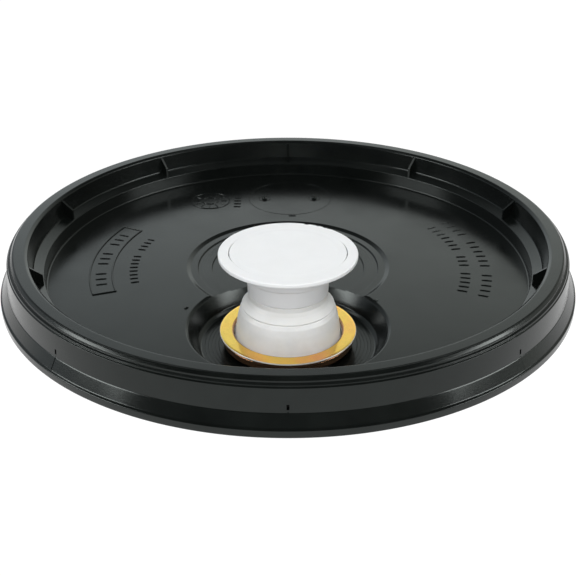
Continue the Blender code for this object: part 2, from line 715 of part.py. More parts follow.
def main():
    clear_scene()
    parts = new_collection("pail_cover_with_spout")
    cutters = new_collection("cutters")
    white = principled("white_ldpe", (0.86, 0.87, 0.88), 0.42)
    origin = new_empty("cover_origin", parts, None, (0, 0, -SEAT_Z))
    spout = new_empty("spout_axis", parts, origin, (0, SPOUT_Y, 0))
    build_cover(parts, cutters, origin, spout)
    build_gasket(parts, origin)
    build_ring(parts, spout)
    build_flange(parts, spout, white)
    build_bell(parts, spout, white)
    build_neck(parts, cutters, spout, white)
    build_seal(parts, cutters, spout, white)
    build_liner(parts, spout, white)
    build_cap(parts, cutters, spout, white)
    build_bail("bail_left", -1, parts, spout, white)
    build_bail("bail_right", 1, parts, spout, white)


main()
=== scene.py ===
from math import acos, asin, atan2, cos, pi, radians, sin, tan
from random import Random

import bmesh
import bpy
from mathutils import Matrix, Vector


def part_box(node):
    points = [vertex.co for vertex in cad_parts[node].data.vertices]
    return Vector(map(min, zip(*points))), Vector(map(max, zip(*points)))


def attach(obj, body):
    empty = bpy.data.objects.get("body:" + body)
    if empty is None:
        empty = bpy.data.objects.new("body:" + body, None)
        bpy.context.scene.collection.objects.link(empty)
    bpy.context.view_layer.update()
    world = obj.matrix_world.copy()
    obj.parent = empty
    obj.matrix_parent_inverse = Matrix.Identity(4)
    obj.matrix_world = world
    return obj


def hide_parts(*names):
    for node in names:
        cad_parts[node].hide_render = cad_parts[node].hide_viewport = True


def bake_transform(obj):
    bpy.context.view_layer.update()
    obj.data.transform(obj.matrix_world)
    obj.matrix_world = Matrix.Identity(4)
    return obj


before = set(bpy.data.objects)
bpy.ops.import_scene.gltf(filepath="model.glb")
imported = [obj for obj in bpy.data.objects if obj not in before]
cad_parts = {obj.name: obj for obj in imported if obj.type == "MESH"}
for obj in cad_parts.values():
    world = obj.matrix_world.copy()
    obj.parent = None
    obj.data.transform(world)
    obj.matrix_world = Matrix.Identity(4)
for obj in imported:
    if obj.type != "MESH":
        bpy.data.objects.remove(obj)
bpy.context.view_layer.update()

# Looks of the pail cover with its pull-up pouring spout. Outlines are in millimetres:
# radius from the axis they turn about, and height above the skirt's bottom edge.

MM = 0.001

# ---- places and sizes read from the frame ----
COVER_LOW, COVER_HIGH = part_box("pail_cover")
RING_LOW, RING_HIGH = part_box("retaining_ring")
GASKET_LOW, GASKET_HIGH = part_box("rim_gasket")
BAIL_LOW, BAIL_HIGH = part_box("bail_right")
RIM_Z = 25.7
FOOT = COVER_HIGH.z - RIM_Z * MM  # height of the skirt's bottom edge in the row frame
SPOUT = ((RING_LOW.x + RING_HIGH.x) / 2, (RING_LOW.y + RING_HIGH.y) / 2)
SKIRT_R = COVER_HIGH.x / MM
RING_R = (RING_HIGH.x - RING_LOW.x) / 2 / MM
RING_TOP = (RING_HIGH.z - FOOT) / MM
RING_BOTTOM = (RING_LOW.z - FOOT) / MM
CAP_TOP = (BAIL_HIGH.z - FOOT) / MM
BAIL_R = (BAIL_HIGH.y - BAIL_LOW.y) / 2 / MM
SEAT_Z = (GASKET_LOW.z - FOOT) / MM

# ---- cover ----
COVER_STEPS = 288
SPOUT_STEPS = 192
WALL = 2.2
PANEL_Z = 4.7
PANEL_R = 131.3
LEDGE_R = 136.8
LEDGE_Z = 14.7
LEDGE_INNER_Z = 12.5
INNER_TOP_R = 138.7
BAND_TOP_R = 149.4
BAND_FOOT_R = 150.8
CREASE_Z = 11.2
LIP_H = 4.1
LIP_T = 2.2
CHANNEL_TOP = RIM_Z - WALL
SNAP_BEAD_Z = 9.0
DISH_OUTLINE = (  # radius, height, rounding
    (56.0, 4.7, 1.2),
    (54.3, 4.0, 0.6),
    (53.7, 3.75, 1.6),
    (50.0, 3.75, 0.35),
    (49.5, 3.1, 0.5),
    (42.2, 3.1, 0.3),
    (41.8, 2.5, 0.4),
)
RECESS_R = 49.0
RECESS_FLOOR_R = 44.6
RECESS_FLOOR = -6.0
COLLAR_BORE_R = 28.1
COLLAR_R = 29.3
BEAD_R = 30.2
COLLAR_TOP = 0.3
BEAD_FOOT = -2.5
GUSSETS = 10
TEAR_OPENINGS = 8
TEAR_Z = 11.7
TEAR_H = 2.5
TEAR_W = 1.2
SCORE_W = 0.5
GASKET_W = 5.7
GASKET_H = 2.4

# ---- spout and cap ----
BELL_T = 0.9
BELL_FOOT = -3.0
NECK_R = 17.4
NECK_BORE_R = 16.0
NECK_STEP = 23.9
NECK_TOP = 41.2
THREAD_PITCH = 4.0
THREAD_TURNS = 1.5
THREAD_R = 0.7
THREAD_Z = 29.5
RING_LIP_R = 26.8
RING_LIP_ROUND = 1.3
RING_T = 0.5
RING_WALL_R = RING_R - 1.4
HEM_Z = RING_TOP - 1.1
SIDE_BOTTOM = BEAD_FOOT - 0.3
FLANGE_R = RING_WALL_R - RING_T - 0.3
DISC_R = 28.1
DISC_T = 2.2
SKIRT_INNER_R = 18.6
CAP_FOOT = 24.2
EAR_W = 3.4
SEAM = 0.012  # the closed part of the slits round a bail
SLIT_W = 0.42
SLIT_REACH = 24  # degrees either way from the side
NIB_AZIMUTHS = (12, 38)
NIB_DEPTHS = (0.0, 0.1, 0.5, 0.8)
SEAL_Z = 27.0
SEAL_T = 0.9
PULL_RING_R = 10.5
PULL_RING_T = 1.1
PULL_RING_Z = 33.0
LINER_Z = 41.6
LINER_T = 0.8


# ---- outlines ----


def rounded(corners, count=5):
    """(radius, height, rounding) corners as (radius, height) points, with an arc in each rounding."""
    points = []
    last = len(corners) - 1
    for i, (r, z, rounding) in enumerate(corners):
        here = Vector((r, z))
        before = Vector(corners[i - 1][:2]) - here
        after = Vector(corners[(i + 1) % len(corners)][:2]) - here
        open_end = r == 0 and i in (0, last)
        if rounding == 0 or open_end or before.length < 1e-6 or after.length < 1e-6:
            points.append((r, z))
            continue
        a, b = before.normalized(), after.normalized()
        half = acos(max(-1.0, min(1.0, a.dot(b)))) / 2
        if half > radians(88.5):
            points.append((r, z))
            continue
        reach = min(rounding / tan(half), 0.48 * before.length, 0.48 * after.length)
        middle = here + (a + b).normalized() * (reach / cos(half))
        start, end = here + a * reach - middle, here + b * reach - middle
        turn = atan2(start.x * end.y - start.y * end.x, start.dot(end))
        for k in range(count + 1):
            t = turn * k / count
            points.append((middle.x + start.x * cos(t) - start.y * sin(t),
                           middle.y + start.x * sin(t) + start.y * cos(t)))
    return points


def ripples(start_r, end_r, z, count, height):
    """Fine raised rings between two radii, as an outline that runs from start_r to end_r."""
    points = []
    pitch = (end_r - start_r) / count
    for i in range(count):
        centre = start_r + pitch * (i + 0.5)
        side = 0.22 * (1 if pitch > 0 else -1)
        points += [(centre - side, z, 0.1), (centre, z + height, 0.15), (centre + side, z, 0.1)]
    return points


# ---- meshes ----


def as_object(name, mesh):
    obj = bpy.data.objects.new(name, mesh)
    bpy.context.scene.collection.objects.link(obj)
    return obj


def lathe(name, outline, steps, centre=(0.0, 0.0)):
    """An outline in millimetres turned about a vertical axis at centre, its outer side running down."""
    verts, rows = [], []
    for r, z in outline:
        height = FOOT + z * MM
        if r < 1e-6:
            rows.append([len(verts)] * steps)
            verts.append((*centre, height))
            continue
        rows.append(range(len(verts), len(verts) + steps))
        for j in range(steps):
            turn = 2 * pi * j / steps
            verts.append((centre[0] + r * MM * cos(turn), centre[1] + r * MM * sin(turn), height))
    pairs = list(zip(rows, rows[1:]))
    if outline[0][0] > 1e-6:
        pairs.append((rows[-1], rows[0]))
    faces = []
    for a, b in pairs:
        for j in range(steps):
            k = (j + 1) % steps
            quad = list(dict.fromkeys((a[j], b[j], b[k], a[k])))
            if len(quad) > 2:
                faces.append(quad)
    mesh = bpy.data.meshes.new(name)
    mesh.from_pydata(verts, [], faces)
    return as_object(name, mesh)


def from_bmesh(name, bm):
    bmesh.ops.recalc_face_normals(bm, faces=bm.faces)
    mesh = bpy.data.meshes.new(name)
    bm.to_mesh(mesh)
    bm.free()
    return as_object(name, mesh)


def prism(bm, outline, depth, place):
    """A flat outline of (x, z) points, thickened by depth about its plane, put where place says."""
    verts = [bm.verts.new(place @ Vector((x, -depth / 2, z))) for x, z in outline]
    face = bm.faces.new(verts)
    grown = bmesh.ops.extrude_face_region(bm, geom=[face])
    moved = [g for g in grown["geom"] if isinstance(g, bmesh.types.BMVert)]
    bmesh.ops.translate(bm, vec=place.to_3x3() @ Vector((0, depth, 0)), verts=moved)


def swept(name, points, radius, sides=12, cyclic=False):
    """A round rod along points in the row frame, as a mesh with welded caps."""
    curve = bpy.data.curves.new(name, "CURVE")
    curve.dimensions = "3D"
    curve.bevel_depth = radius
    curve.bevel_resolution = max(0, sides // 2 - 2)
    curve.use_fill_caps = not cyclic
    spline = curve.splines.new("POLY")
    spline.points.add(len(points) - 1)
    spline.use_cyclic_u = cyclic
    for point, place in zip(spline.points, points):
        point.co = (*place, 1)
    path = as_object(name, curve)
    mesh = final_mesh(path)
    bpy.data.objects.remove(path, do_unlink=True)
    bm = bmesh.new()
    bm.from_mesh(mesh)
    bmesh.ops.remove_doubles(bm, verts=bm.verts, dist=1e-7)
    bpy.data.meshes.remove(mesh)
    return from_bmesh(name, bm)


def final_mesh(obj):
    bpy.context.view_layer.update()
    graph = bpy.context.evaluated_depsgraph_get()
    return bpy.data.meshes.new_from_object(obj.evaluated_get(graph))


def combine(obj, steps):
    """Joins and cuts obj with each (operation, other) in turn, then drops the others."""
    for operation, other in steps:
        modifier = obj.modifiers.new(other.name, "BOOLEAN")
        modifier.operation = operation
        modifier.solver = "EXACT"
        modifier.object = other
    mesh = final_mesh(obj)
    obj.modifiers.clear()
    obj.data = mesh
    for _, other in steps:
        bpy.data.objects.remove(other, do_unlink=True)
    return obj


def smooth(obj, angle=32):
    obj.data.shade_smooth()
    obj.data.set_sharp_from_angle(angle=radians(angle))
    even = obj.modifiers.new("even_shading", "WEIGHTED_NORMAL")
    even.keep_sharp = True
    return obj


def finish_piece(obj, body, material, slot, *nodes):
    """Smooths the piece, paints it, and makes it ride on its body in place of its CAD nodes."""
    smooth(obj)
    obj.data.materials.clear()
    obj.data.materials.append(material)
    if body:
        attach(obj, body)
    if nodes:
        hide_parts(*nodes)
    return obj


# ---- materials ----


def new_material(name):
    material = bpy.data.materials.new(name)
    material.use_nodes = True
    nodes = material.node_tree.nodes
    return material, nodes, material.node_tree.links, nodes["Principled BSDF"]


def noise(nodes, links, coords, scale, detail=3.0, roughness=0.5, stretch=None):
    """A noise texture on the given coordinates, stretched along each axis if asked."""
    if stretch:
        mapping = nodes.new("ShaderNodeMapping")
        mapping.inputs["Scale"].default_value = stretch
        links.new(coords, mapping.inputs["Vector"])
        coords = mapping.outputs["Vector"]
    texture = nodes.new("ShaderNodeTexNoise")
    texture.inputs["Scale"].default_value = scale
    texture.inputs["Detail"].default_value = detail
    texture.inputs["Roughness"].default_value = roughness
    links.new(coords, texture.inputs["Vector"])
    return texture.outputs["Fac"]


def spread(nodes, links, value, low, high, from_low=0.3, from_high=0.7):
    """Maps a value onto the range low to high; the defaults fit a noise value."""
    change = nodes.new("ShaderNodeMapRange")
    change.inputs["From Min"].default_value = from_low
    change.inputs["From Max"].default_value = from_high
    change.inputs["To Min"].default_value = low
    change.inputs["To Max"].default_value = high
    links.new(value, change.inputs["Value"])
    return change.outputs["Result"]


def ramp(nodes, links, value, stops):
    """A colour ramp through (position, colour) stops."""
    made = nodes.new("ShaderNodeValToRGB")
    elements = made.color_ramp.elements
    while len(elements) < len(stops):
        elements.new(0.5)
    for element, (position, colour) in zip(elements, stops):
        element.position = position
        element.color = (*colour, 1)
    links.new(value, made.inputs["Fac"])
    return made.outputs["Color"]


def bumps(nodes, links, shader, layers):
    """Stacks (height value, distance in metres, strength) layers as bump on the shader's normal."""
    normal = None
    for value, distance, strength in layers:
        bump = nodes.new("ShaderNodeBump")
        bump.inputs["Distance"].default_value = distance
        bump.inputs["Strength"].default_value = strength
        links.new(value, bump.inputs["Height"])
        if normal:
            links.new(normal, bump.inputs["Normal"])
        normal = bump.outputs["Normal"]
    links.new(normal, shader.inputs["Normal"])


def math_node(nodes, links, operation, *values):
    """A math node on sockets or plain numbers."""
    made = nodes.new("ShaderNodeMath")
    made.operation = operation
    for socket, value in zip(made.inputs, values):
        if isinstance(value, (int, float)):
            socket.default_value = value
        else:
            links.new(value, socket)
    return made.outputs["Value"]


def blend_colours(nodes, links, share, first, second):
    """The first colour, turned into the plain second one by share."""
    mix = nodes.new("ShaderNodeMix")
    mix.data_type = "RGBA"
    links.new(share, mix.inputs["Factor"])
    links.new(first, mix.inputs["A"])
    mix.inputs["B"].default_value = (*second, 1.0)
    return mix.outputs["Result"]


def distance_from(nodes, links, coords, centre):
    """Distance from a vertical axis through centre."""
    flat = nodes.new("ShaderNodeVectorMath")
    flat.operation = "MULTIPLY"
    links.new(coords, flat.inputs[0])
    flat.inputs[1].default_value = (1, 1, 0)
    away = nodes.new("ShaderNodeVectorMath")
    away.operation = "DISTANCE"
    links.new(flat.outputs["Vector"], away.inputs[0])
    away.inputs[1].default_value = centre
    return away.outputs["Value"]


def height_of(nodes, links, coords):
    split = nodes.new("ShaderNodeSeparateXYZ")
    links.new(coords, split.inputs["Vector"])
    return split.outputs["Z"]


def object_coords(nodes):
    return nodes.new("ShaderNodeTexCoord").outputs["Object"]


def black_plastic():
    """Glossy black polyethylene: slightly uneven gloss, flow marks and a very fine skin."""
    material, nodes, links, shader = new_material("black_polyethylene")
    coords = object_coords(nodes)
    clouds = noise(nodes, links, coords, 28, 4)
    streaks = noise(nodes, links, coords, 90, 5, 0.6, (1.0, 0.25, 1.0))
    skin = noise(nodes, links, coords, 1600, 2)
    waves = noise(nodes, links, coords, 45, 1)
    tint = ramp(nodes, links, streaks, [(0.3, (0.0028, 0.0034, 0.0032)), (0.7, (0.0045, 0.0055, 0.005))])
    links.new(tint, shader.inputs["Base Color"])
    links.new(spread(nodes, links, clouds, 0.16, 0.25), shader.inputs["Roughness"])
    shader.inputs["IOR"].default_value = 1.4
    shader.inputs["Specular Tint"].default_value = (0.92, 1.0, 0.97, 1.0)
    bumps(nodes, links, shader, [(waves, 0.0004, 0.1), (skin, 0.00002, 0.2)])
    return material


def white_plastic(name, colour, roughness, subsurface, clouding, shade_heights=None):
    """Soft white polyethylene, faintly clouded; if given two heights, it gets a painted shade that darkens
    it going up between them, standing in for the light that comes through the thin bell but not the thicker
    shoulder.
    """
    material, nodes, links, shader = new_material(name)
    coords = object_coords(nodes)
    mottle = noise(nodes, links, coords, 70, 4, 0.6)
    skin = noise(nodes, links, coords, 900, 3)
    waves = noise(nodes, links, coords, 110, 2)
    low = tuple(c * (1 - clouding) for c in colour)
    painted = ramp(nodes, links, mottle, [(0.3, low), (0.7, colour)])
    # painted shade: about a fifth darker from the lower height up, full at the upper one, in place of less
    # light coming through the thicker wall
    if shade_heights:
        shoulder_shade = spread(nodes, links, height_of(nodes, links, coords), 0, 1,
                       *(FOOT + z * MM for z in shade_heights))
        painted = blend_colours(nodes, links, shoulder_shade, painted, tuple(c * 0.79 for c in colour))
    links.new(painted, shader.inputs["Base Color"])
    links.new(spread(nodes, links, waves, roughness - 0.05, roughness + 0.07), shader.inputs["Roughness"])
    shader.inputs["Subsurface Weight"].default_value = subsurface
    shader.inputs["Subsurface Radius"].default_value = (1.0, 0.9, 0.8)
    shader.inputs["Subsurface Scale"].default_value = 0.0022
    bumps(nodes, links, shader, [(waves, 0.0003, 0.1), (skin, 0.00002, 0.35)])
    return material


def gold_zinc():
    """Yellow zinc plating: gold that drifts to orange and rose, a pale painted highlight along the outer
    edge, and painted shade below the hem and inside the turned-down lip.
    """
    material, nodes, links, shader = new_material("yellow_zinc_plate")
    coords = object_coords(nodes)
    patches = noise(nodes, links, coords, 42, 2, 0.5)
    fine = noise(nodes, links, coords, 420, 4)
    hues = [
        (0.32, (1.0, 0.42, 0.22)),
        (0.42, (1.0, 0.54, 0.15)),
        (0.54, (1.0, 0.63, 0.13)),
        (0.68, (0.95, 0.67, 0.14)),
    ]
    plate = ramp(nodes, links, patches, hues)
    reach = distance_from(nodes, links, coords, (*SPOUT, 0))
    height = height_of(nodes, links, coords)
    # painted shade: under the hem and inside the turned-down lip the plating is blended to dark copper
    # brown and made a little less metallic, where shade falls
    hem = FOOT + (RING_TOP - 0.75) * MM
    low = spread(nodes, links, height, 1, 0, hem - 0.2 * MM, hem)
    inside = spread(nodes, links, reach, 1, 0, (RING_LIP_R + 0.7) * MM, (RING_LIP_R + 1.3) * MM)
    painted_hem_shade = math_node(nodes, links, "MAXIMUM", low, inside)
    # painted highlight: a thin pale, less metallic band round the outer edge above the hem, standing for
    # the edge catching the front lights
    rim = spread(nodes, links, reach, 0, 1, (RING_R - 0.32) * MM, (RING_R - 0.12) * MM)
    edge = math_node(nodes, links, "MULTIPLY", rim, spread(nodes, links, height, 0, 1, hem - 0.1 * MM, hem))
    shade = blend_colours(nodes, links, painted_hem_shade, plate, (0.48, 0.26, 0.14))
    colour = blend_colours(nodes, links, edge, shade, (0.93, 0.9, 0.84))
    links.new(colour, shader.inputs["Base Color"])
    edge_highlight_metal = spread(nodes, links, edge, 1.0, 0.25, 0, 1)
    hem_shade_metal = spread(nodes, links, painted_hem_shade, 1.0, 0.9, 0, 1)
    links.new(math_node(nodes, links, "MULTIPLY", edge_highlight_metal, hem_shade_metal), shader.inputs["Metallic"])
    links.new(spread(nodes, links, fine, 0.12, 0.22), shader.inputs["Roughness"])
    bumps(nodes, links, shader, [(patches, 0.0003, 0.08), (fine, 0.00002, 0.12)])
    return material


def grey_rubber():
    """Matt foamed rubber of the gasket: fine pores."""
    material, nodes, links, shader = new_material("gasket_rubber")
    coords = object_coords(nodes)
    pores = nodes.new("ShaderNodeTexVoronoi")
    pores.inputs["Scale"].default_value = 1800
    links.new(coords, pores.inputs["Vector"])
    mottle = noise(nodes, links, coords, 150, 3)
    tint = ramp(nodes, links, mottle, [(0.3, (0.42, 0.42, 0.40)), (0.7, (0.52, 0.52, 0.50))])
    links.new(tint, shader.inputs["Base Color"])
    shader.inputs["Roughness"].default_value = 0.85
    bumps(nodes, links, shader, [(pores.outputs["Distance"], 0.0001, 0.5)])
    return material


# ---- the cover ----


def cover_outline():
    """The cover without its recess: crown, band, flare, lip, channel, underside. The panel is flat."""
    shell = [
        (0, PANEL_Z, 0),
        (PANEL_R, PANEL_Z, 1.0),
        (PANEL_R + 0.2, LEDGE_INNER_Z, 0.7),
        (LEDGE_R, LEDGE_Z, 1.4),
        (INNER_TOP_R, RIM_Z - 1.1, 0.9),
        (INNER_TOP_R + 1.5, RIM_Z - 0.1, 1.5),
        (BAND_TOP_R - 3.2, RIM_Z, 1.5),
        (BAND_TOP_R - 1.9, RIM_Z - 1.5, 0.4),
        (BAND_TOP_R - 1.7, RIM_Z - 2.4, 0.3),
        (BAND_TOP_R - 0.55, RIM_Z - 2.7, 0.35),
        (BAND_TOP_R - 0.35, RIM_Z - 3.4, 0.3),
        (BAND_TOP_R + 0.25, RIM_Z - 3.9, 0.25),
        (BAND_FOOT_R, CREASE_Z - 0.9, 0.4),
        (BAND_FOOT_R + 0.3, CREASE_Z - 1.3, 0.6),
        (SKIRT_R - 1.0, LIP_H + 0.6, 1.4),
        (SKIRT_R, LIP_H - 0.2, 0.6),
        (SKIRT_R, 0, 0.8),
        (SKIRT_R - LIP_T, 0, 0.7),
        (SKIRT_R - LIP_T - 0.3, LIP_H - 1.4, 1.0),
        (BAND_FOOT_R - WALL + 0.4, CREASE_Z - 3.0, 1.5),
        (BAND_FOOT_R - WALL - 0.9, SNAP_BEAD_Z, 0.6),
        (BAND_FOOT_R - WALL, SNAP_BEAD_Z + 2.0, 1.0),
        (BAND_TOP_R - WALL, CHANNEL_TOP, 0.5),
        (INNER_TOP_R + WALL, CHANNEL_TOP, 0.5),
        (LEDGE_R + WALL, LEDGE_Z - 1.2, 1.5),
        (PANEL_R + WALL, LEDGE_INNER_Z - 1.6, 1.0),
        (PANEL_R + WALL, PANEL_Z - WALL, 2.4),
    ]
    under = [(r, z - WALL, rounding) for r, z, rounding in DISH_OUTLINE]
    return rounded(shell + under + [(0, DISH_OUTLINE[-1][1] - WALL, 0)])


def recess_block():
    """What the recess is cut into: it hangs under the panel."""
    return rounded([
        (0, PANEL_Z - WALL / 2, 0),
        (RECESS_R + WALL, PANEL_Z - WALL / 2, 0),
        (RECESS_R + WALL - 0.6, PANEL_Z - WALL - 0.6, 1.5),
        (RECESS_FLOOR_R + WALL, RECESS_FLOOR - 0.2, 2.4),
        (RECESS_FLOOR_R - 2.0, RECESS_FLOOR - WALL, 1.0),
        (0, RECESS_FLOOR - WALL, 0),
    ])


def recess_hollow():
    """The recess's hollow: rounded edge, sloping wall, floor with turning marks, collar and bore."""
    above = PANEL_Z + 4
    edge = [
        (0, above, 0),
        (RECESS_R + 2.6, above, 0),
        (RECESS_R + 2.6, PANEL_Z + 0.06, 0),
        (RECESS_R + 1.6, PANEL_Z - 0.1, 1.2),
        (RECESS_R + 0.3, PANEL_Z - 1.0, 1.4),
        (RECESS_R - 0.7, PANEL_Z - 3.0, 2.0),
        (RECESS_FLOOR_R + 0.5, RECESS_FLOOR + 1.4, 2.0),
        (RECESS_FLOOR_R - 1.2, RECESS_FLOOR, 1.6),
    ]
    floor = ripples(RECESS_FLOOR_R - 2.5, COLLAR_R + 4.5, RECESS_FLOOR, 5, 0.1)
    collar = [
        (COLLAR_R, RECESS_FLOOR, 0.6),
        (COLLAR_R, BEAD_FOOT - 0.8, 0.4),
        (BEAD_R, BEAD_FOOT, 0.4),
        (BEAD_R, COLLAR_TOP, 0.6),
        (COLLAR_BORE_R, COLLAR_TOP, 0.4),
        (COLLAR_BORE_R, RECESS_FLOOR - 4, 0),
        (0, RECESS_FLOOR - 4, 0),
    ]
    return rounded(edge + floor + collar)


def dish_hollow():
    """The dish's hollow: three shallow terraces, the middle one with turning marks."""
    above = PANEL_Z + 4
    edge_r = DISH_OUTLINE[0][0] + 2.5
    lip = [(0, above, 0), (edge_r, above, 0), (edge_r, PANEL_Z + 0.06, 0)]
    treads = ripples(47.8, 43.4, DISH_OUTLINE[4][1], 3, 0.05)
    outline = lip + list(DISH_OUTLINE[:5]) + treads + list(DISH_OUTLINE[5:])
    return rounded(outline + [(0, DISH_OUTLINE[-1][1], 0)])


def gusset_webs():
    """Ten thin webs between the inner wall and the ledge, one at the back."""
    bm = bmesh.new()
    nose = INNER_TOP_R - 6.5
    top = RIM_Z - 1.2
    outline = rounded([
        (nose, LEDGE_INNER_Z - 0.6, 0),
        (nose, top - 5.8, 0.7),
        (INNER_TOP_R + 0.7, top - 0.05, 0),
        (LEDGE_R + 0.7, LEDGE_Z - 0.9, 0),
    ], 3)
    flat = [(r * MM, FOOT + z * MM) for r, z in outline]
    for i in range(GUSSETS):
        spin = Matrix.Rotation(pi / 2 + 2 * pi * i / GUSSETS, 4, "Z")
        prism(bm, flat, 1.3 * MM, spin)
    return from_bmesh("gusset_webs", bm)


def tear_slots():
    """Slots just above the crease, with a score line from each down through the flare."""
    bm = bmesh.new()
    for i in range(TEAR_OPENINGS):
        spin = Matrix.Rotation(-pi / 2 + 2 * pi * i / TEAR_OPENINGS, 4, "Z")
        hole = [(-5, TEAR_Z), (5, TEAR_Z), (5, TEAR_Z + TEAR_H), (-5, TEAR_Z + TEAR_H)]
        prism(bm, [((BAND_FOOT_R + x) * MM, FOOT + z * MM) for x, z in hole], TEAR_W * MM, spin)
        score = [(BAND_FOOT_R - 0.25, 10.8), (SKIRT_R - 0.9, 4.4), (SKIRT_R + 0.6, 5.1),
                 (BAND_FOOT_R + 2.5, 11.9)]
        prism(bm, [(x * MM, FOOT + z * MM) for x, z in score[::-1]], SCORE_W * MM, spin)
    return from_bmesh("tear_slots", bm)


def build_cover(material):
    cover = lathe("cover_moulding", cover_outline(), COVER_STEPS)
    block = lathe("recess_block", recess_block(), SPOUT_STEPS, SPOUT)
    hollow = lathe("recess_hollow", recess_hollow(), SPOUT_STEPS, SPOUT)
    dish = lathe("dish_hollow", dish_hollow(), COVER_STEPS)
    combine(cover, [
        ("UNION", block),
        ("DIFFERENCE", dish),
        ("DIFFERENCE", hollow),
        ("UNION", gusset_webs()),
        ("DIFFERENCE", tear_slots()),
    ])
    return finish_piece(cover, "cover", material, "cover_plastic", "pail_cover")


def build_gasket(material):
    outer_r = GASKET_HIGH.x / MM
    outline = rounded([
        (outer_r - GASKET_W, SEAT_Z + GASKET_H, 0.5),
        (outer_r, SEAT_Z + GASKET_H, 0.5),
        (outer_r, SEAT_Z, 0.5),
        (outer_r - GASKET_W, SEAT_Z, 0.5),
    ])
    gasket = lathe("gasket_ring", outline, COVER_STEPS)
    return finish_piece(gasket, "cover", material, "gasket_rubber", "rim_gasket")


# ---- marks moulded on the panel ----


def capsule(bm, start, end, width, height):
    """A low rounded ridge on the panel from start to end, (x, y) in millimetres."""
    a, b = Vector((*start, PANEL_Z)), Vector((*end, PANEL_Z))
    along = b - a
    made = bmesh.ops.create_uvsphere(bm, u_segments=10, v_segments=6, radius=1.0)
    turn = Matrix.Rotation(atan2(along.y, along.x), 3, "Z")
    middle = (a + b) / 2
    for vert in made["verts"]:
        local = Vector((vert.co.x * width / 2, vert.co.y * width / 2, vert.co.z * height))
        local.x += along.length / 2 * (1 if vert.co.x > 1e-6 else -1 if vert.co.x < -1e-6 else 0)
        place = turn @ local + middle
        vert.co = (place.x * MM, place.y * MM, FOOT + place.z * MM)


def at(radius, azimuth):
    """A point on the panel, its azimuth in degrees clockwise from the back."""
    return (radius * sin(radians(azimuth)), radius * cos(radians(azimuth)))


def bar_row(bm, radius, start, end, groups, height):
    """Groups of short radial bars along an arc, from one azimuth to the other."""
    slots = sum(groups) + len(groups) - 1
    step = (end - start) / slots
    place = start
    for count in groups:
        for _ in range(count):
            azimuth = place + step / 2
            capsule(bm, at(radius - height / 2, azimuth), at(radius + height / 2, azimuth), 0.9, 0.5)
            place += step
        place += step


def ring_ridge(bm, centre, radius, count, width=0.8, height=0.45):
    """A closed ridge round a point on the panel."""
    for i in range(count):
        a, b = 2 * pi * i / count, 2 * pi * (i + 1) / count
        capsule(bm, (centre[0] + radius * cos(a), centre[1] + radius * sin(a)),
                (centre[0] + radius * cos(b), centre[1] + radius * sin(b)), width, height)


def build_marks(material):
    """Plain moulded marks where such covers carry writing: bars, a long frame and a dial."""
    bm = bmesh.new()
    bar_row(bm, 108.8, 59, 112, (4, 6, 5), 4.6)
    bar_row(bm, 97.4, 60, 111, (7, 3, 5), 4.6)
    bar_row(bm, 85.0, -107, -68, (8, 4), 3.6)
    inner_r, outer_r = 96.5, 108.5
    left, sweep, steps = -110, 46, 28
    for radius in (inner_r, outer_r):
        for i in range(steps):
            a = left + sweep * i / steps
            capsule(bm, at(radius, a), at(radius, a + sweep / steps), 1.0, 0.6)
    for a in (left, left + sweep):
        capsule(bm, at(inner_r, a), at(outer_r, a), 1.0, 0.6)
    bar_row(bm, 102.5, -106, -68, (3, 3, 3), 5.0)
    dial = (-49.0, 87.0)
    ring_ridge(bm, dial, 12.0, 48)
    ring_ridge(bm, dial, 5.0, 28)
    for i in range(12):
        turn = 2 * pi * i / 12
        inner = (dial[0] + 7.2 * cos(turn), dial[1] + 7.2 * sin(turn))
        outer = (dial[0] + 9.8 * cos(turn), dial[1] + 9.8 * sin(turn))
        capsule(bm, inner, outer, 0.8, 0.45)
    for i in range(4):
        y = 78 + 4.5 * i
        capsule(bm, (-33.5, y), (-30.0, y), 0.9, 0.5)
    ring_ridge(bm, (1.2, 92.0), 26.0, 96, 0.6, 0.12)
    for x, y in ((-14.8, 90.3), (16.6, 90.8)):
        capsule(bm, (x - 0.05, y), (x + 0.05, y), 3.4, 2.0)
        ring_ridge(bm, (x, y), 3.6, 30, 0.8, 0.15)
    capsule(bm, (0.8, 64.0), (4.4, 64.0), 0.9, 0.4)
    for x, y in ((-51.9, -50.9), (45.7, -42.7)):
        capsule(bm, (x - 0.4, y - 0.3), (x + 0.4, y + 0.3), 1.4, 0.8)
    marks = from_bmesh("panel_marks", bm)
    return finish_piece(marks, "cover", material, "cover_plastic")


# ---- the spout ----


def arc(centre_r, centre_z, radius, start, end, count=6):
    """Outline corners on an arc, its angles in degrees from the outward direction."""
    turns = [radians(start + (end - start) * i / count) for i in range(count + 1)]
    return [(centre_r + radius * cos(t), centre_z + radius * sin(t), 0) for t in turns]


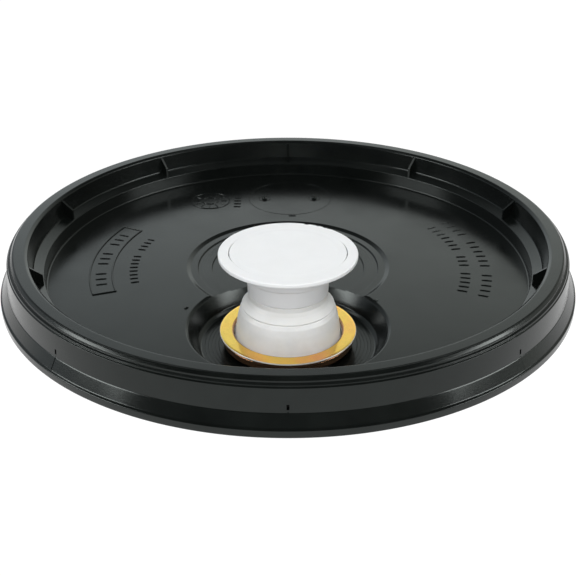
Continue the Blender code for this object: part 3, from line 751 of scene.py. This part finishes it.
def build_ring(material):
    """Pressed steel: hole edge turned down, outer edge folded, wall beaded and crimped."""
    lip = (RING_LIP_R + RING_LIP_ROUND, RING_TOP - RING_LIP_ROUND)
    inner_r = RING_WALL_R - RING_T
    bead = [HEM_Z - drop for drop in (0.4, 0.9, 1.5, 2.0)]
    outline = rounded([
        *arc(*lip, RING_LIP_ROUND, 180, 90),
        (RING_R - 1.2, RING_TOP, 0.3),
        (RING_R, RING_TOP - 0.08, 0.42),
        (RING_R, HEM_Z, 0.5),
        (RING_WALL_R, HEM_Z, 0.15),
        (RING_WALL_R, bead[0], 0.2),
        (RING_WALL_R + 0.6, bead[1], 0.3),
        (RING_WALL_R + 0.6, bead[2], 0.3),
        (RING_WALL_R, bead[3], 0.2),
        (RING_WALL_R, SIDE_BOTTOM, 0.6),
        (RING_WALL_R - 1.5, RING_BOTTOM, 0.15),
        (RING_WALL_R - 1.85, RING_BOTTOM + 0.35, 0.1),
        (inner_r, SIDE_BOTTOM + 0.25, 0.4),
        (inner_r, bead[3], 0.1),
        (inner_r + 0.6, bead[2], 0.2),
        (inner_r + 0.6, bead[1], 0.2),
        (inner_r, bead[0], 0.1),
        (inner_r, RING_TOP - RING_T, 0.1),
        *arc(*lip, RING_LIP_ROUND - RING_T, 90, 180),
    ])
    ring = lathe("steel_ring", outline, SPOUT_STEPS, SPOUT)
    return finish_piece(ring, "cover", material, "ring_steel", "retaining_ring")


def build_flange(material):
    groove_r = RING_LIP_R + RING_LIP_ROUND
    groove_round = RING_LIP_ROUND - RING_T - 0.3
    groove_z = RING_TOP - RING_LIP_ROUND - 0.3
    top = COLLAR_TOP + 1.5
    outline = rounded([
        (groove_r, top, 0.2),
        (FLANGE_R, top, 0.6),
        (FLANGE_R, SIDE_BOTTOM + 0.3, 0.4),
        (FLANGE_R - 1.2, RING_BOTTOM + 1.0, 0.15),
        (BEAD_R, BEAD_FOOT - 0.8, 0.1),
        (BEAD_R + 0.3, BEAD_FOOT, 0.2),
        (BEAD_R + 0.3, COLLAR_TOP + 0.3, 0.4),
        (COLLAR_BORE_R - 0.3, COLLAR_TOP + 0.3, 0.2),
        (COLLAR_BORE_R - 0.3, -3.2, 0.3),
        (COLLAR_BORE_R - 1.3, -3.2, 0.3),
        (COLLAR_BORE_R - 1.3, groove_z, 0.2),
        (groove_r - groove_round, groove_z, 0.05),
        (groove_r - groove_round, groove_z + 0.3, 0.1),
    ])
    flange = lathe("flange_base", outline, SPOUT_STEPS, SPOUT)
    return finish_piece(flange, "cover", material, "spout_plastic", "spout_flange")


def helix(radius, start_z):
    per_turn = 72
    points = []
    for i in range(int(per_turn * THREAD_TURNS) + 1):
        turn = 2 * pi * i / per_turn
        height = FOOT + (start_z + THREAD_PITCH * i / per_turn) * MM
        points.append((SPOUT[0] + radius * MM * cos(turn), SPOUT[1] + radius * MM * sin(turn), height))
    return points


def build_spout_body(material):
    """Bell, shoulder and threaded neck turned as one fixed mesh; on the real spout the bell is the part
    that bends between cover and neck.
    """
    outline = rounded([
        (NECK_BORE_R, NECK_TOP, 0.4),
        (NECK_R, NECK_TOP, 0.4),
        (NECK_R, NECK_STEP, 0.2),
        (19.4, NECK_STEP, 0.3),
        (19.45, 21.6, 1.4),
        (20.4, 19.7, 2.0),
        (22.75, 17.1, 0.3),
        (22.7, 16.6, 0.15),
        (22.45, 16.35, 0.15),
        (22.9, 15.9, 0.3),
        (23.75, 14.2, 2.5),
        (24.65, 10.6, 6.0),
        (25.7, 4.4, 8.0),
        (26.5, BELL_FOOT, 0.3),
        (26.5 - BELL_T, BELL_FOOT, 0.3),
        (25.7 - BELL_T, 4.4, 8.0),
        (24.65 - BELL_T, 10.6, 6.0),
        (23.6 - BELL_T, 14.2, 2.5),
        (22.2 - BELL_T, 16.6, 1.0),
        (19.2, 19.4, 1.5),
        (NECK_BORE_R, 21.4, 1.5),
    ], 8)
    body = lathe("spout_body", outline, SPOUT_STEPS, SPOUT)
    thread = swept("neck_thread", helix(NECK_R, THREAD_Z + THREAD_PITCH / 2), THREAD_R * MM)
    combine(body, [("UNION", thread)])
    finish_piece(body, None, material, "spout_plastic", "spout_bell", "spout_neck")
    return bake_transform(body)


def build_seal(material):
    radius = NECK_BORE_R - 0.3
    outline = rounded([
        (0, SEAL_Z + SEAL_T, 0),
        (radius - 1.4, SEAL_Z + SEAL_T, 0.2),
        (radius - 1.0, SEAL_Z + SEAL_T - 0.4, 0.2),
        (radius - 0.6, SEAL_Z + SEAL_T, 0.2),
        (radius, SEAL_Z + SEAL_T, 0.2),
        (radius, SEAL_Z, 0.2),
        (0, SEAL_Z, 0),
    ])
    seal = lathe("seal_membrane", outline, SPOUT_STEPS, SPOUT)
    finish_piece(seal, "neck", material, "spout_plastic", "tear_seal")
    count = 64
    loop = []
    for i in range(count):
        turn = 2 * pi * i / count
        loop.append((SPOUT[0] + PULL_RING_R * MM * cos(turn), SPOUT[1] + PULL_RING_R * MM * sin(turn),
                     FOOT + PULL_RING_Z * MM))
    ring = swept("seal_pull_ring", loop, PULL_RING_T * MM, 16, cyclic=True)
    bm = bmesh.new()
    bottom = SEAL_Z + SEAL_T + 0.3
    post = rounded([(-1.8, bottom, 0.2), (-1.3, PULL_RING_Z, 0), (1.3, PULL_RING_Z, 0), (1.8, bottom, 0.2)])
    place = Matrix.Translation((SPOUT[0], SPOUT[1] - PULL_RING_R * MM, 0))
    prism(bm, [(x * MM, FOOT + z * MM) for x, z in post], 1.4 * PULL_RING_T * MM, place)
    combine(ring, [("UNION", from_bmesh("pull_post", bm))])
    finish_piece(ring, "neck", material, "spout_plastic", "pull_ring")


def build_liner(material):
    radius = SKIRT_INNER_R - 0.3
    outline = rounded([
        (0, LINER_Z + LINER_T, 0),
        (radius, LINER_Z + LINER_T, 0.2),
        (radius, LINER_Z, 0.2),
        (0, LINER_Z, 0),
    ])
    liner = lathe("liner_disc", outline, SPOUT_STEPS, SPOUT)
    finish_piece(liner, "liner", material, "cap_plastic", "cap_liner")


def bar_between(bm, inner, outer, rounds):
    """A flat bar at the height of the cap's disc between two rows of (x, y) points."""
    rows = []
    for a, b in zip(inner, outer):
        a, b = Vector(a), Vector(b)
        across = (b - a).normalized()
        row = []
        for corner, inward, z, sign, small in ((a, across, CAP_TOP, -1, rounds[0]),
                                               (b, -across, CAP_TOP, -1, rounds[1]),
                                               (b, -across, CAP_TOP - DISC_T, 1, rounds[1]),
                                               (a, across, CAP_TOP - DISC_T, 1, rounds[0])):
            order = (0, 30, 60, 90) if len(row) in (0, 8) else (90, 60, 30, 0)
            for angle in order:
                t = radians(angle)
                point = corner + inward * small * (1 - sin(pi / 2 - t))
                row.append((point.x, point.y, z + sign * small * (1 - cos(pi / 2 - t))))
        rows.append([bm.verts.new((SPOUT[0] + x * MM, SPOUT[1] + y * MM, FOOT + z * MM))
                     for x, y, z in row])
    width = len(rows[0])
    for a, b in zip(rows, rows[1:]):
        for j in range(width):
            k = (j + 1) % width
            bm.faces.new((a[j], a[k], b[k], b[j]))
    bm.faces.new(rows[0][::-1])
    bm.faces.new(rows[-1])


def build_cap(material):
    under = CAP_TOP - DISC_T
    inner_top = CAP_TOP - 1.9
    outline = rounded([
        (0, CAP_TOP - 0.1, 0),
        (24.0, CAP_TOP - 0.1, 0.8),
        (25.6, CAP_TOP, 0.8),
        (DISC_R, CAP_TOP, 0.06),
        (DISC_R, under, 0.06),
        (26.0, under - 0.2, 0.8),
        (22.3, 38.8, 2.4),
        (20.7, 37.0, 2.0),
        (20.7, 33.2, 0.3),
        (20.15, 32.7, 0.2),
        (20.0, 32.3, 0.4),
        (19.65, CAP_FOOT, 0.4),
        (SKIRT_INNER_R, CAP_FOOT, 0.3),
        (SKIRT_INNER_R, inner_top, 0.5),
        (0, inner_top, 0),
    ], 6)
    cap = lathe("cap_shell", outline, SPOUT_STEPS, SPOUT)
    thread = swept("cap_thread", helix(SKIRT_INNER_R, THREAD_Z), THREAD_R * MM)
    bm = bmesh.new()
    for side in (-1, 1):
        across = [-EAR_W / 2 + EAR_W * i / 6 for i in range(7)]
        inner = [(x, side * (DISC_R - 1.5)) for x in across]
        outer = [(x, side * (BAIL_R ** 2 - x ** 2) ** 0.5) for x in across]
        bar_between(bm, inner, outer, (0.05, 0.5))
    combine(cap, [("UNION", thread), ("UNION", from_bmesh("cap_ears", bm))])
    return finish_piece(cap, "cap", material, "cap_plastic", "screw_cap")


def bail_slit(turn):
    """Width of the slit inside a bail: open at the side, closed by the hinges."""
    reach = turn / radians(SLIT_REACH)
    return SEAM + SLIT_W * max(0.0, cos(reach * pi / 2)) ** 0.8 * (abs(reach) < 1)


def build_bail(side, name, material):
    """A half-ring handle; at the back right it carries the stubs of a torn tamper band."""
    count = 96
    random = Random(7)
    inner, outer = [], []
    end_x = EAR_W / 2 + SEAM
    for i in range(count + 1):
        u = -1 + 2 * i / count
        turn = u * (pi / 2 - asin(end_x / BAIL_R))
        inner_r = DISC_R + bail_slit(turn)
        inner_turn = u * (pi / 2 - asin(end_x / inner_r))
        azimuth = 90 - turn * 180 / pi
        outer_r = BAIL_R
        if side > 0 and NIB_AZIMUTHS[0] < azimuth < NIB_AZIMUTHS[1]:
            outer_r -= random.choice(NIB_DEPTHS)
        inner.append((side * inner_r * cos(inner_turn), inner_r * sin(inner_turn)))
        outer.append((side * outer_r * cos(turn), outer_r * sin(turn)))
    bm = bmesh.new()
    bar_between(bm, inner, outer, (0.06, 0.5))
    bail = from_bmesh(name, bm)
    node = "bail_right" if side > 0 else "bail_left"
    return finish_piece(bail, node, material, "cap_plastic", node)


# ---- stage, lights, camera ----


def grey(*stops):
    """(position, value) stops as stops of a colour ramp."""
    return [(position, (value, value, value)) for position, value in stops]


def build_floor():
    """A light table: pale, lit from below all round the object, so that shadows stay faint."""
    material, nodes, links, shader = new_material("studio_floor")
    mottle = noise(nodes, links, object_coords(nodes), 3, 3)
    pale = ramp(nodes, links, mottle, grey((0.3, 0.13), (0.7, 0.14)))
    links.new(pale, shader.inputs["Base Color"])
    shader.inputs["Roughness"].default_value = 0.9
    shader.inputs["Specular IOR Level"].default_value = 0.0
    shader.inputs["Emission Color"].default_value = (1.0, 1.0, 1.0, 1.0)
    reach = distance_from(nodes, links, object_coords(nodes), (0, 0, 0))
    edges = [(SKIRT_R + past) * MM for past in (-27, -16, 10, 40)]
    lit = ramp(nodes, links, reach, grey(*zip(edges, (0.0, 1.0, 1.0, 0.9))))
    links.new(lit, shader.inputs["Emission Strength"])
    bm = bmesh.new()
    bmesh.ops.create_grid(bm, x_segments=1, y_segments=1, size=10.0)
    mesh = bpy.data.meshes.new("floor")
    bm.to_mesh(mesh)
    bm.free()
    floor = as_object("floor", mesh)
    floor.location = (0, 0, COVER_LOW.z - 0.3 * MM)
    mesh.materials.append(material)


def build_world():
    """A studio sweep: bright low behind the object, dark overhead and behind the camera."""
    world = bpy.data.worlds.new("studio")
    bpy.context.scene.world = world
    world.use_nodes = True
    nodes, links = world.node_tree.nodes, world.node_tree.links
    split = nodes.new("ShaderNodeSeparateXYZ")
    links.new(nodes.new("ShaderNodeTexCoord").outputs["Generated"], split.inputs["Vector"])
    x, y, z = (split.outputs[axis] for axis in "XYZ")
    height = ramp(nodes, links, z, grey((0.38, 1.0), (0.45, 0.86), (0.54, 0.72), (0.6, 0.3), (0.7, 0.1)))
    side = ramp(nodes, links, math_node(nodes, links, "ABSOLUTE", x),
                grey((0.3, 1.0), (0.46, 0.4), (0.8, 0.35), (1.0, 0.6)))
    behind = ramp(nodes, links, spread(nodes, links, y, 0, 1, -1, 1), grey((0.35, 0.12), (0.55, 1.0)))
    tint = ramp(nodes, links, spread(nodes, links, x, 0, 1, -1, 1),
                [(0.2, (0.9, 0.98, 1.03)), (0.8, (0.91, 0.95, 0.88))])
    level = math_node(nodes, links, "MULTIPLY", math_node(nodes, links, "MULTIPLY", height, side), behind)
    links.new(tint, nodes["Background"].inputs["Color"])
    links.new(math_node(nodes, links, "MULTIPLY", level, 1.2), nodes["Background"].inputs["Strength"])


def soft_box(name, location, size, power, aim, gloss, spill=True):
    """A soft area light: seen in reflections only with gloss, lights matt faces only with spill."""
    light = bpy.data.lights.new(name, "AREA")
    light.shape = "RECTANGLE"
    light.size, light.size_y = size
    light.energy = power
    lamp = as_object(name, light)
    lamp.location = location
    lamp.rotation_euler = (Vector(aim) - Vector(location)).to_track_quat("-Z", "Y").to_euler()
    lamp.visible_glossy = gloss
    lamp.visible_diffuse = spill


def build_lights():
    aim = (SPOUT[0], SPOUT[1], 0.0)
    soft_box("top_box", (0.0, 0.0, 1.6), (1.6, 1.6), 7, aim, False)
    soft_box("front_left_box", (-0.75, -1.1, 0.55), (0.9, 0.9), 10, aim, False)
    soft_box("front_right_box", (0.75, -1.1, 0.55), (0.9, 0.9), 9.5, aim, False)
    soft_box("front_top_box", (0.0, -1.0, 1.3), (1.0, 0.6), 6, aim, False)
    soft_box("back_box", (0.0, 1.0, 0.5), (1.2, 0.7), 4, aim, False)
    soft_box("left_card", (-1.17, -0.35, 0.48), (0.7, 0.35), 8, aim, True, False)
    soft_box("right_card", (1.17, -0.35, 0.48), (0.7, 0.35), 7.5, aim, True, False)
    soft_box("left_strip", (-1.0, 0.35, 1.5), (0.25, 1.2), 2.2, aim, True)
    soft_box("right_strip", (1.0, 0.35, 1.5), (0.25, 1.2), 2.2, aim, True)


def build_camera():
    camera = bpy.data.cameras.new("camera")
    camera.sensor_width = 36
    camera.lens = 62.5
    obj = as_object("camera", camera)
    obj.location = (0, -495.9 * MM, FOOT + 255.4 * MM)
    obj.rotation_euler = (radians(61.75), 0, 0)
    bpy.context.scene.camera = obj
    bpy.context.scene.view_settings.view_transform = "Standard"
    bpy.context.scene.view_settings.look = "None"


def main():
    build_camera()
    build_floor()
    build_world()
    build_lights()
    black = black_plastic()
    # the last two heights, 14 and 20 mm, are where the painted shade of the spout's shoulder comes in
    soft_white = white_plastic("spout_polyethylene", (0.96, 0.96, 0.94), 0.36, 0.35, 0.13, (14.0, 20.0))
    cap_white = white_plastic("cap_polyethylene", (0.78, 0.787, 0.795), 0.38, 0.15, 0.03)
    build_cover(black)
    build_marks(black)
    build_gasket(grey_rubber())
    build_ring(gold_zinc())
    build_flange(soft_white)
    build_spout_body(soft_white)
    build_seal(soft_white)
    build_liner(cap_white)
    build_cap(cap_white)
    build_bail(-1, "bail_grip_left", cap_white)
    build_bail(1, "bail_grip_right", cap_white)


main()
